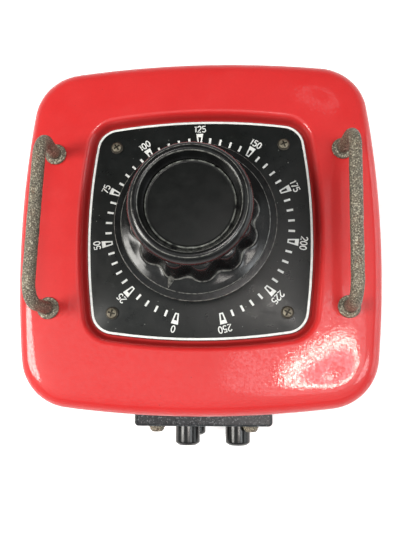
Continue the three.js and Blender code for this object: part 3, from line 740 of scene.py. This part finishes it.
def stroke_slabs(points, width):
    """A flat ribbon of the given width along a line of points."""
    left = []
    right = []
    closed = (Vector(points[0]) - Vector(points[-1])).length < 1e-6
    count = len(points)
    for i, (x, y) in enumerate(points):
        previous = Vector(points[(i - 1) if i else (count - 2 if closed else 0)])
        following = Vector(points[(i + 1) if i < count - 1 else (1 if closed else count - 1)])
        direction = following - previous
        direction.normalize()
        normal = Vector((-direction.y, direction.x)) * width / 2
        left.append((x + normal.x, y + normal.y))
        right.append((x - normal.x, y - normal.y))
    verts = []
    faces = []
    for i in range(count):
        verts += [(*left[i], 0.0), (*right[i], 0.0), (*left[i], PRINT), (*right[i], PRINT)]
    for i in range(count - 1):
        a, b = 4 * i, 4 * (i + 1)
        faces += [(a + 2, a + 3, b + 3, b + 2), (a, b, b + 1, a + 1), (a, a + 2, b + 2, b),
                  (a + 1, b + 1, b + 3, a + 3)]
    faces += [(0, 1, 3, 2), (4 * count - 4, 4 * count - 2, 4 * count - 1, 4 * count - 3)]
    return verts, faces


def numeral_shapes(text, degrees):
    """The number's strokes, upright for a reader at the outside of the dial's rim."""
    width = sum(DIGIT_STEP[c] for c in text) - 0.08
    shapes = []
    offset = -width / 2
    for character in text:
        for stroke in DIGITS[character]:
            points = []
            for u, v in stroke:
                across = (offset + u) * NUMERAL_HEIGHT
                radius = NUMERAL_RADIUS + (v - 0.5) * NUMERAL_HEIGHT
                points.append(printed(degrees, radius, across))
            shapes.append(stroke_slabs(points, STROKE))
        offset += DIGIT_STEP[character]
    return shapes


def major_mark(degrees):
    """A hollow wedge, wide end outwards, with a thick outer end."""
    # Sideways and outwards, in millimetres.
    outer = [(-2.35, 65.0), (2.35, 65.0), (1.25, 57.8), (-1.25, 57.8)]
    inner = [(-1.0, 62.6), (1.0, 62.6), (0.55, 58.7), (-0.55, 58.7)]
    return band([printed(degrees, r, a) for a, r in inner], [printed(degrees, r, a) for a, r in outer])


marks = []
for volts in range(0, 255, 5):
    degrees = (volts - SCALE_TOP_VOLTS) / 5 * SCALE_STEP
    if volts % 25 == 0:
        marks.append(major_mark(degrees))
        marks += numeral_shapes(str(volts), degrees)
    else:
        corners = [(-0.7, MARK_INNER), (0.7, MARK_INNER), (0.7, MARK_OUTER), (-0.7, MARK_OUTER)]
        marks.append(slab([printed(degrees, r, a) for a, r in corners]))
border_inner = [(x, y) for x, y, _ in dial_ring(DIAL_HALF - 1.75, 0)]
border_outer = [(x, y) for x, y, _ in dial_ring(DIAL_HALF - 0.35, 0)]
marks.append(band(border_inner, border_outer))
finish_piece("scale_print", joined("scale_print", marks), "scale_print", "case")

# ------------------------------------------------------------------ dial screws

DIAL_SCREW_REACH = 56.0
SCREW_TURNS = {"rear_left": 35, "rear_right": 20, "front_left": -15, "front_right": 60}  # degrees
screw_outline = rounded_path([(0, -2.0, 0), (1.5, -2.0, 0), (1.5, 0.3, 0), (4.1, 0.3, 0), (4.15, 0.75, 0.2),
                              (3.3, 0.95, 0.3), (3.1, 1.7, 0.6), (1.6, 2.3, 0.8), (0, 2.4, 0)], 4)
for name, side, end in CORNERS:
    x, y = side * DIAL_SCREW_REACH + DIAL_SHIFT[0], end * DIAL_SCREW_REACH + DIAL_SHIFT[1]
    body_mesh = turned("dial_screw_head", screw_outline, 40, (x, y))
    slots = [cutting_box("slot", size, (x, y, 2.3), SCREW_TURNS[name])
             for size in ((4.8, 1.1, 2.4), (1.1, 4.8, 2.4))]
    finish_piece(f"dial_screw_fine_{name}", cut_mesh(body_mesh, slots), "old_screw", "case",
                 replaced=[f"dial_screw_{name}"])

# --------------------------------------------------------------------- handles

def handle_path():
    """Centre line of a hoop as (y, z) with its unit normal in the hoop's plane."""
    path = []
    leg_top = HANDLE_GRIP_HEIGHT - HANDLE_BEND
    for i in range(16):
        path.append((-HANDLE_LEG_Y, HANDLE_LEG_BOTTOM + (leg_top - HANDLE_LEG_BOTTOM) * i / 16, -1.0, 0.0))
    for i in range(12):
        angle = math.pi / 2 * i / 12
        y = -HANDLE_LEG_Y + HANDLE_BEND * (1 - math.cos(angle))
        z = leg_top + HANDLE_BEND * math.sin(angle)
        path.append((y, z, -math.cos(angle), math.sin(angle)))
    grip_half = HANDLE_LEG_Y - HANDLE_BEND
    for i in range(25):
        path.append((-grip_half + grip_half * i / 24, HANDLE_GRIP_HEIGHT, 0.0, 1.0))
    mirrored = [(-y, z, -ny, nz) for y, z, ny, nz in reversed(path[:-1])]
    return path + mirrored


for side_name, side in (("left", -1), ("right", 1)):
    rings = []
    for y, z, ny, nz in handle_path():  # each ring is slightly dented and pitted
        ring = []
        for across, out in circle(28):
            direction = Vector((across, ny * out, nz * out))
            rise = min(max((z - 8.1) / (HANDLE_GRIP_HEIGHT - 8.1), 0.0), 1.0)
            lean = HANDLE_LEAN * y * rise * rise * (3 - 2 * rise)
            centre = Vector((side * HANDLE_X + lean, HANDLE_CENTRE_Y + y, z))
            dents = noise.noise((centre + direction * 4) * 0.22) * 0.16
            pits = noise.noise((centre + direction * 4) * 0.75 + Vector((side * 50, 0, 0))) * 0.09
            ring.append(tuple(centre + direction * (HANDLE_ROD - 0.12 + dents + pits)))
        rings.append(ring)
    finish_piece(f"handle_rod_{side_name}", skin("handle_rod", rings), "rusty_steel", "case",
                 replaced=[f"handle_{side_name}"], sharp_degrees=60)

base = 4.4  # just above the cover
washer_outline = rounded_path([(4.1, base + 0.1, 0), (6.95, base + 0.1, 0.3), (7.15, base + 0.7, 0.3),
                               (6.8, base + 1.4, 0.4), (5.4, base + 1.55, 0.6), (4.1, base + 2.6, 0)], 3)
for name, side, end in CORNERS:
    x, y = side * HANDLE_X, HANDLE_CENTRE_Y + end * HANDLE_LEG_Y
    rings = [[(x + radius * across, y + radius * out, height) for across, out in circle(40)]
             for radius, height in washer_outline]
    finish_piece(f"handle_washer_fine_{name}", skin("handle_washer", rings, looped=True), "rusty_steel",
                 "case", replaced=[f"handle_washer_{name}"])

# ------------------------------------------------------------------------ knob

def lobed_ring(radius, height, depth):
    """Circle with a hollow between every two lobes; depth scales the hollows."""
    steps = 264
    ring = []
    for i in range(steps):
        turn = 360.0 * i / steps
        wave = abs(math.sin(math.radians(turn) * KNOB_LOBES / 2)) ** 3
        reach = radius - KNOB_LOBE_DEPTH * depth * wave
        x, y = heading(POINTER_ANGLE + turn)
        ring.append((reach * x, reach * y, height))
    return ring


# Radius, height and depth of the lobes, from the bore round the outside to the disc.
knob_under = [(6.3, 50.0, 0), (6.3, 3.0, 0), (15.0, 3.0, 0), (15.0, 9.0, 0), (44.5, 9.0, 0), (48.8, 13.5, 0)]
flange = [(a, b, 0.0) for a, b in rounded_path(
    [(48.8, 13.5, 0), (50.85, 17.4, 0.8), (50.75, 19.45, 0.5), (46.8, 19.45, 0.3), (46.1, 20.2, 0.6),
     (43, 21.3, 0)], 5)]
grip = curved([
    (43, 21.3, 0.0), (41.0, 22.0, 0.45), (39.9, 22.8, 0.9), (39.25, 24.0, 1.0), (38.2, 28.5, 1.0),
    (36.6, 35, 1.0), (35.7, 38.3, 1.0), (34.7, 39.6, 0.95), (32.4, 40.2, 0.7),
], 5)
head = curved([
    (29.6, 40.4, 0.1), (28.3, 40.9, 0.0), (28.1, 42.6, 0.0), (30.4, 45.3, 0.0), (33.3, 48.0, 0.0),
    (35.1, 50.9, 0.0), (35.6, 54.2, 0.0), (35.2, 56.3, 0.0), (34.0, 58.3, 0.0), (32.3, 59.45, 0.0),
    (31.2, 59.85, 0.0), (30.2, 59.85, 0.0), (29.1, 59.2, 0.0), (28.3, 57.4, 0.0), (27.3, 55.0, 0.0),
    (26.45, 53.7, 0.0),
], 4)
knob_profile = knob_under + flange + grip[1:] + head + [(26.4, 50.0, 0.0)]
knob_rings = [lobed_ring(radius, height, depth) for radius, height, depth in knob_profile]
knob_mesh = skin("knob_body", knob_rings, looped=True)
# The set screw's hole is opposite the pointer.
screw_hole = cutting_rod("screw_hole", 2.7, POINTER_ANGLE + 180, 29.0, 27.0, 50.0)
finish_piece("knob_body", cut_mesh(knob_mesh, [screw_hole]), "knob_bakelite", "rotor",
             replaced=["knob"], sharp_degrees=42)

# Arrow ridge on the skirt: a three-sided wedge that falls to a point at its tip.
pointer_points = []
pointer_corners = [
    (37.5, -3.6, 22.0), (37.5, 3.6, 22.0), (45.7, -0.3, 20.0), (45.7, 0.3, 20.0),
    (37.5, -0.5, 27.0), (37.5, 0.5, 27.0), (45.3, -0.15, 20.9), (45.3, 0.15, 20.9),
]
for radius, across, height in pointer_corners:
    x, y = dial_point(POINTER_ANGLE, radius, across)
    pointer_points.append((x, y, height))
pointer_faces = [(0, 1, 3, 2), (4, 6, 7, 5), (0, 2, 6, 4), (1, 5, 7, 3), (0, 4, 5, 1), (2, 3, 7, 6)]
finish_piece("knob_pointer", mesh_of("knob_pointer", pointer_points, pointer_faces), "pointer_bakelite",
             "rotor")

disc = rounded_path([(0, 50.3, 0), (25.95, 50.3, 0.2), (25.95, 53.3, 0.4), (25.2, 53.6, 0.3),
                     (24.2, 53.35, 0.3), (20, 53.55, 0), (12, 53.8, 0), (0, 53.95, 0)], 5)
finish_piece("knob_disc", turned("knob_disc", disc, 96), "knob_disc", "rotor",
             replaced=["knob_cap"])

# -------------------------------------------------------------- side casing

SLOT_WALL = 116   # where the slots go through the sheet
SLOT_PITCH = 12
SLOT_MIDDLE = -92.0

casing_outer = CASE_HALF - 1.9
casing_rings = [case_ring(casing_outer, -149.7), case_ring(casing_outer, -30.0),
                case_ring(casing_outer - 1.2, -30.0), case_ring(casing_outer - 1.2, -149.7)]
casing_mesh = skin("casing", casing_rings, looped=True)


def slot_cutter(x, y, along_x):
    """Upright slot with round ends, cut through the sheet."""
    half_width, half_height = 2.5, 33.0
    outline = []
    for middle, start in ((half_height - half_width, 0.0), (half_width - half_height, math.pi)):
        for k in range(9):
            angle = start + math.pi * k / 8
            outline.append((half_width * math.cos(angle), middle + half_width * math.sin(angle)))
    rings = []
    for depth in (-7, 7):
        if along_x:
            rings.append([(x + u, y + depth, v + SLOT_MIDDLE) for u, v in outline])
        else:
            rings.append([(x + depth, y + u, v + SLOT_MIDDLE) for u, v in outline])
    return cutting_skin("slot", rings)


slot_tools = []
for i in range(-6, 7):
    slot_tools.append(slot_cutter(-SLOT_WALL, i * SLOT_PITCH, False))
    slot_tools.append(slot_cutter(SLOT_WALL, i * SLOT_PITCH, False))
    slot_tools.append(slot_cutter(i * SLOT_PITCH, SLOT_WALL, True))
for i in (-7, -6, -5, 5, 6, 7):  # the front has slots only beside the block
    slot_tools.append(slot_cutter(i * SLOT_PITCH, -SLOT_WALL, True))
finish_piece("casing_sheet", cut_mesh(casing_mesh, slot_tools), "red_enamel", "case",
             replaced=["side_casing"])

# -------------------------------------------------------------- terminal block

POST_COLUMNS = {-1: -11.4, 1: 25.0}
POST_ROWS = {1: -66.0, -1: -132.5}
BLOCK_MIDDLE = (1.0, -86.7)
BLOCK_SCREW_REACH = (33.3, 32.3)

block_low, block_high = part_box("terminal_block")
front = (block_low.y - ORIGIN.y) / MM
back = (block_high.y - ORIGIN.y) / MM
left = (block_low.x - ORIGIN.x) / MM
right = (block_high.x - ORIGIN.x) / MM
block_bottom = (block_low.z - ORIGIN.z) / MM
block_top = (block_high.z - ORIGIN.z) / MM


def block_ring(height, inset):
    """Outline of the block, round at its two front corners and square at the back."""
    corner = 3.0 - inset * 0.5
    points = []
    for cx, cy, start in ((left + inset + corner, front + inset + corner, 180),
                          (right - inset - corner, front + inset + corner, 270)):
        for k in range(9):
            angle = math.radians(start + 90 * k / 8)
            points.append((cx + corner * math.cos(angle), cy + corner * math.sin(angle), height))
    points.append((right - inset, back, height))
    points.append((left + inset, back, height))
    return points


BLOCK_EDGE = 1.2  # radius of the lower edge
edge_arc = []
for k in range(6):
    angle = math.pi / 2 * k / 5
    edge_arc.append((BLOCK_EDGE * (1 - math.cos(angle)), BLOCK_EDGE * (1 - math.sin(angle))))
block_rings = [block_ring(block_bottom + rise, inset) for inset, rise in reversed(edge_arc)]
# These rings run downwards, so the upper edge is folded; reversed(edge_arc) would round it.
block_rings += [block_ring(block_top - drop, inset) for drop, inset in edge_arc]
block_mesh = skin("block", block_rings)
finish_piece("block_body", block_mesh, "block_resin", "case", replaced=["terminal_block"])

face = -front  # distance of the block's front from the shaft axis
tip = 144.9    # and of the posts' tips
recess = face + 1.8
rim = face + 0.35
post_outline = rounded_path([
    (0, 142, 0), (2.6, 142, 0), (2.6, recess, 0), (5.8, recess, 0), (5.8, rim, 0), (8.4, rim, 0.3),
    (8.9, rim + 0.6, 0.3), (8.9, tip - 1.9, 1.6), (6.6, tip - 0.15, 1.2), (4.2, tip - 0.05, 0),
    (0, tip - 0.05, 0)], 6)
head_outline = rounded_path([
    (0, 111, 0), (2.45, 111, 0), (2.45, face + 0.3, 0), (5.55, face + 0.3, 0.1), (5.55, face + 1.3, 0.3),
    (5.0, face + 1.5, 0.2), (4.95, face + 2.6, 0.9), (3.6, face + 4.2, 1.5), (0, face + 4.55, 0)], 6)

for name, side, end in BLOCK_CORNERS:
    centre = (POST_COLUMNS[side], POST_ROWS[end])
    finish_piece(f"post_{name}", turned(f"post_{name}", post_outline, 64, centre, True), "bakelite",
                 f"terminal_cap_{name}_body", replaced=[f"terminal_cap_{name}"], sharp_degrees=40)

for name, side, end in BLOCK_CORNERS:
    centre = (BLOCK_MIDDLE[0] + side * BLOCK_SCREW_REACH[0], BLOCK_MIDDLE[1] + end * BLOCK_SCREW_REACH[1])
    head_mesh = turned(f"block_screw_head_{name}", head_outline, 48, centre, True)
    slot_box = cutting_box("screw_slot", (12, 2.6, 1.1), (centre[0], -(face + 4.3), centre[1]))
    finish_piece(f"block_screw_fine_{name}", cut_mesh(head_mesh, [slot_box]), "rusty_steel", "case",
                 replaced=[f"block_screw_{name}"])

# ------------------------------------------------------------------------ feet

foot_outline = rounded_path([(0, -160, 0), (10.6, -160, 0.6), (12.1, -158.7, 1.2), (11.7, -154, 0),
                             (11.1, -150.3, 0.6), (10.6, -150.05, 0), (0, -150.05, 0)], 5)
for name, _, _ in CORNERS:
    low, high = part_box(f"foot_{name}")
    centre = (((low.x + high.x) / 2 - ORIGIN.x) / MM, ((low.y + high.y) / 2 - ORIGIN.y) / MM)
    finish_piece(f"foot_pad_{name}", turned("foot_pad", foot_outline, 48, centre), "rubber", "case",
                 replaced=[f"foot_{name}"])

# --------------------------------------------------------------------- winding

TURNS = 236
COIL_GAP = 30.0
COIL_INNER = 35.2
COIL_OUTER = 91.0
COIL_LOW = -140.4
COIL_HIGH = -57.0
WIRE_HALF = 0.95   # across the layer
WIRE_SHARE = 0.49  # of its turn's width, on each side


def winding_mesh():
    """All the turns as flat-sided wires whose width shrinks towards the hole."""
    corner = 6.0
    inner = COIL_INNER + corner
    outer = COIL_OUTER - corner
    low = COIL_LOW + corner
    high = COIL_HIGH - corner
    loop = []
    for cx, cz, start in ((outer, high, 0), (inner, high, 90), (inner, low, 180), (outer, low, 270)):
        for k in range(4):
            angle = math.radians(start + 30 * k)
            out, up = math.cos(angle), math.sin(angle)
            loop.append((cx + corner * out, cz + corner * up, out, up))
    section = circle(6)
    points = []
    faces = []
    spread = 360.0 - COIL_GAP
    for turn in range(TURNS):
        middle = 180.0 + COIL_GAP / 2 + spread * (turn + 0.5) / TURNS
        start = len(points)
        for radius, height, normal_r, normal_z in loop:
            half_width = radius * math.radians(spread / TURNS) * WIRE_SHARE
            for along, out in section:
                reach = radius + normal_r * out * WIRE_HALF
                x, y = dial_point(middle, reach, along * half_width)
                points.append((x, y, height + normal_z * out * WIRE_HALF))
        count = len(loop)
        for i in range(count):
            j = (i + 1) % count
            for k in range(6):
                m = (k + 1) % 6
                faces.append((start + i * 6 + k, start + i * 6 + m, start + j * 6 + m, start + j * 6 + k))
    return mesh_of("winding", points, faces)


finish_piece("winding_wires", winding_mesh(), "copper", "case", replaced=["winding"], sharp_degrees=80)

# ---------------------------------------------------------------- brush spring

SPRING_TURNS = 6
SPRING_WIRE = 0.42  # radius of the wire


def spring_mesh(centre, coil_radius, low, high):
    """Round wire coiled upwards, with closer turns at both ends."""
    steps = SPRING_TURNS * 24
    rings = []
    for i in range(steps + 1):
        part = i / steps
        angle = 2 * math.pi * SPRING_TURNS * part
        height = low + (high - low) * (part - 0.5 * math.sin(2 * math.pi * part) / (2 * math.pi))
        ring = []
        for out, up in circle(10):
            reach = coil_radius + SPRING_WIRE * out
            ring.append((centre[0] + reach * math.cos(angle), centre[1] + reach * math.sin(angle),
                         height + SPRING_WIRE * up))
        rings.append(ring)
    return skin("spring", rings)


spring_low, spring_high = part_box("brush_spring")
spring_axis = (spring_low + spring_high) / 2
spring_centre = spring_axis - ORIGIN
spring_reach = (spring_high.x - spring_low.x) / 2 / MM - SPRING_WIRE - 0.05
spring_foot = (spring_low.z - ORIGIN.z) / MM + (SPRING_WIRE + 0.02)
spring_head = (spring_high.z - ORIGIN.z) / MM - (SPRING_WIRE + 0.02)
coil_mesh = spring_mesh((spring_centre.x / MM, spring_centre.y / MM), spring_reach, spring_foot, spring_head)
spring_ends = [Vector((*spring_axis.xy, end.z)) for end in (spring_low, spring_high)]
finish_piece("spring_coil", coil_mesh, "plain_steel", ("brush", "rotor", *spring_ends),
             replaced=["brush_spring"])

# ------------------------------------------------------- floor, light and camera

floor_mesh = bpy.data.meshes.new("floor")
floor_work = bmesh.new()
bmesh.ops.create_grid(floor_work, x_segments=40, y_segments=40, size=3.0)
floor_work.to_mesh(floor_mesh)
floor_work.free()
floor_look = Look("floor", roughness=0.9, specular=0.2)
floor_look.colour(floor_look.mottle((400, 2), 0.3, 0.7, (0.90, 0.90, 0.90), (0.93, 0.93, 0.93)))
floor_look.settings({"Emission Color": (1.0, 1.0, 1.0, 1.0), "Emission Strength": 0.3})
floor_mesh.materials.append(floor_look.material)
floor = put("floor", floor_mesh)


def soft_light(name, watts, size, position, target, colour):
    """A round lamp that points at the target."""
    data = bpy.data.lights.new(name, "AREA")
    data.shape = "DISK"
    data.size = size
    data.energy = watts
    data.color = colour
    lamp = put(name, data)
    lamp.location = position
    lamp.rotation_euler = (Vector(target) - Vector(position)).to_track_quat("-Z", "Y").to_euler()
    return lamp


lamps = [
    soft_light("left_window", 10.4, 0.5, (-0.80, -0.12, 0.90), (0.0, 0.0, 0.15), (1.0, 0.98, 0.93)),
    soft_light("right_window", 2.0, 0.35, (0.70, -0.26, 1.1), (0.0, 0.0, 0.15), (0.93, 0.97, 1.0)),
]


def glowing(name, points, faces, strength, colour):
    """A luminous flat piece of the light set."""
    mesh = bpy.data.meshes.new(name)
    mesh.from_pydata(points, [], faces)
    look = Look(name)
    look.settings({"Base Color": (0, 0, 0, 1), "Emission Color": (*colour, 1.0),
                   "Emission Strength": strength})
    mesh.materials.append(look.material)
    return put(name, mesh)


def glowing_disc(name, centre, inner, outer, strength, colour, stretch=(1.0, 1.0)):
    """Level ring or disc under the ceiling."""
    steps = 64
    points = [(centre[0] + radius * stretch[0] * across, centre[1] + radius * stretch[1] * out, centre[2])
              for radius in (inner, outer) for across, out in circle(steps)]
    faces = [(i, (i + 1) % steps, steps + (i + 1) % steps, steps + i) for i in range(steps)]
    return glowing(name, points, faces, strength, colour)


NEAR_RING = (0.49, -0.155, 2.2)
OVAL = (1.15, 0.95)
FAR_RING = (0.62, 1.80, 3.2)
CEILING_LIGHTS = [  # name, centre, inner and outer radius in metres, strength, colour, stretch
    ("ceiling_ring", NEAR_RING, 0.185, 0.24, 37.0, (1.0, 0.98, 0.88), OVAL),
    ("ceiling_shade", NEAR_RING, 0.04, 0.18, 7.5, (1.0, 0.86, 0.92), OVAL),
    ("ceiling_glow", NEAR_RING, 0.245, 0.46, 3.0, (1.0, 0.9, 0.93), OVAL),
    ("ceiling_bulb", (0.44, -0.18, 2.19), 0.001, 0.03, 40.0, (1.0, 0.98, 0.88)),
    ("far_ring", FAR_RING, 0.13, 0.18, 2.2, (1.0, 0.95, 0.97)),
]
lamps += [glowing_disc(*light) for light in CEILING_LIGHTS]
right_wall = [(1.7, -0.7, 0.15), (1.7, 0.9, 0.15), (1.7, 0.9, 1.0), (1.7, -0.7, 1.0)]
ceiling = [(-2.6, -2.8, 2.4), (2.6, -2.8, 2.4), (2.6, 1.75, 2.4), (-2.6, -0.50, 2.4)]
lamps.append(glowing("right_wall", right_wall, [(0, 1, 2, 3)], 2.3, (0.93, 0.98, 1.0)))
lamps.append(glowing("ceiling_panel", ceiling, [(0, 1, 2, 3)], 0.7, (0.97, 1.0, 1.0)))

# The surroundings are pale near the horizon and darker overhead.
world = bpy.data.worlds.new("studio")
bpy.context.scene.world = world
world.use_nodes = True
sky = world.node_tree
direction = sky.nodes.new("ShaderNodeTexCoord").outputs["Generated"]
split = sky.nodes.new("ShaderNodeSeparateXYZ")
sky.links.new(direction, split.inputs["Vector"])
wall_to_ceiling = sky.nodes.new("ShaderNodeMapRange")
for name, value in (("From Min", 0.10), ("From Max", 0.45), ("To Min", 0.70), ("To Max", 0.14)):
    wall_to_ceiling.inputs[name].default_value = value
sky.links.new(split.outputs["Z"], wall_to_ceiling.inputs["Value"])
sky.links.new(wall_to_ceiling.outputs["Result"], sky.nodes["Background"].inputs["Strength"])
sky.nodes["Background"].inputs["Color"].default_value = (1.0, 1.0, 1.0, 1.0)

# The camera that shows the dial's marks, the knob and the handles where the photo has them.
camera_data = bpy.data.cameras.new("photo_view")
camera_data.sensor_fit = "AUTO"
camera_data.sensor_width = 36.0
camera_data.lens = 35.68
camera = put("photo_view", camera_data)
camera.location = place(25.6 + DIAL_SHIFT[0], -93.3 + DIAL_SHIFT[1], 348.0)
camera.rotation_euler = (0.17065, 0.05697, 0.00127)
bpy.context.scene.camera = camera
bpy.context.scene.view_settings.view_transform = "Standard"
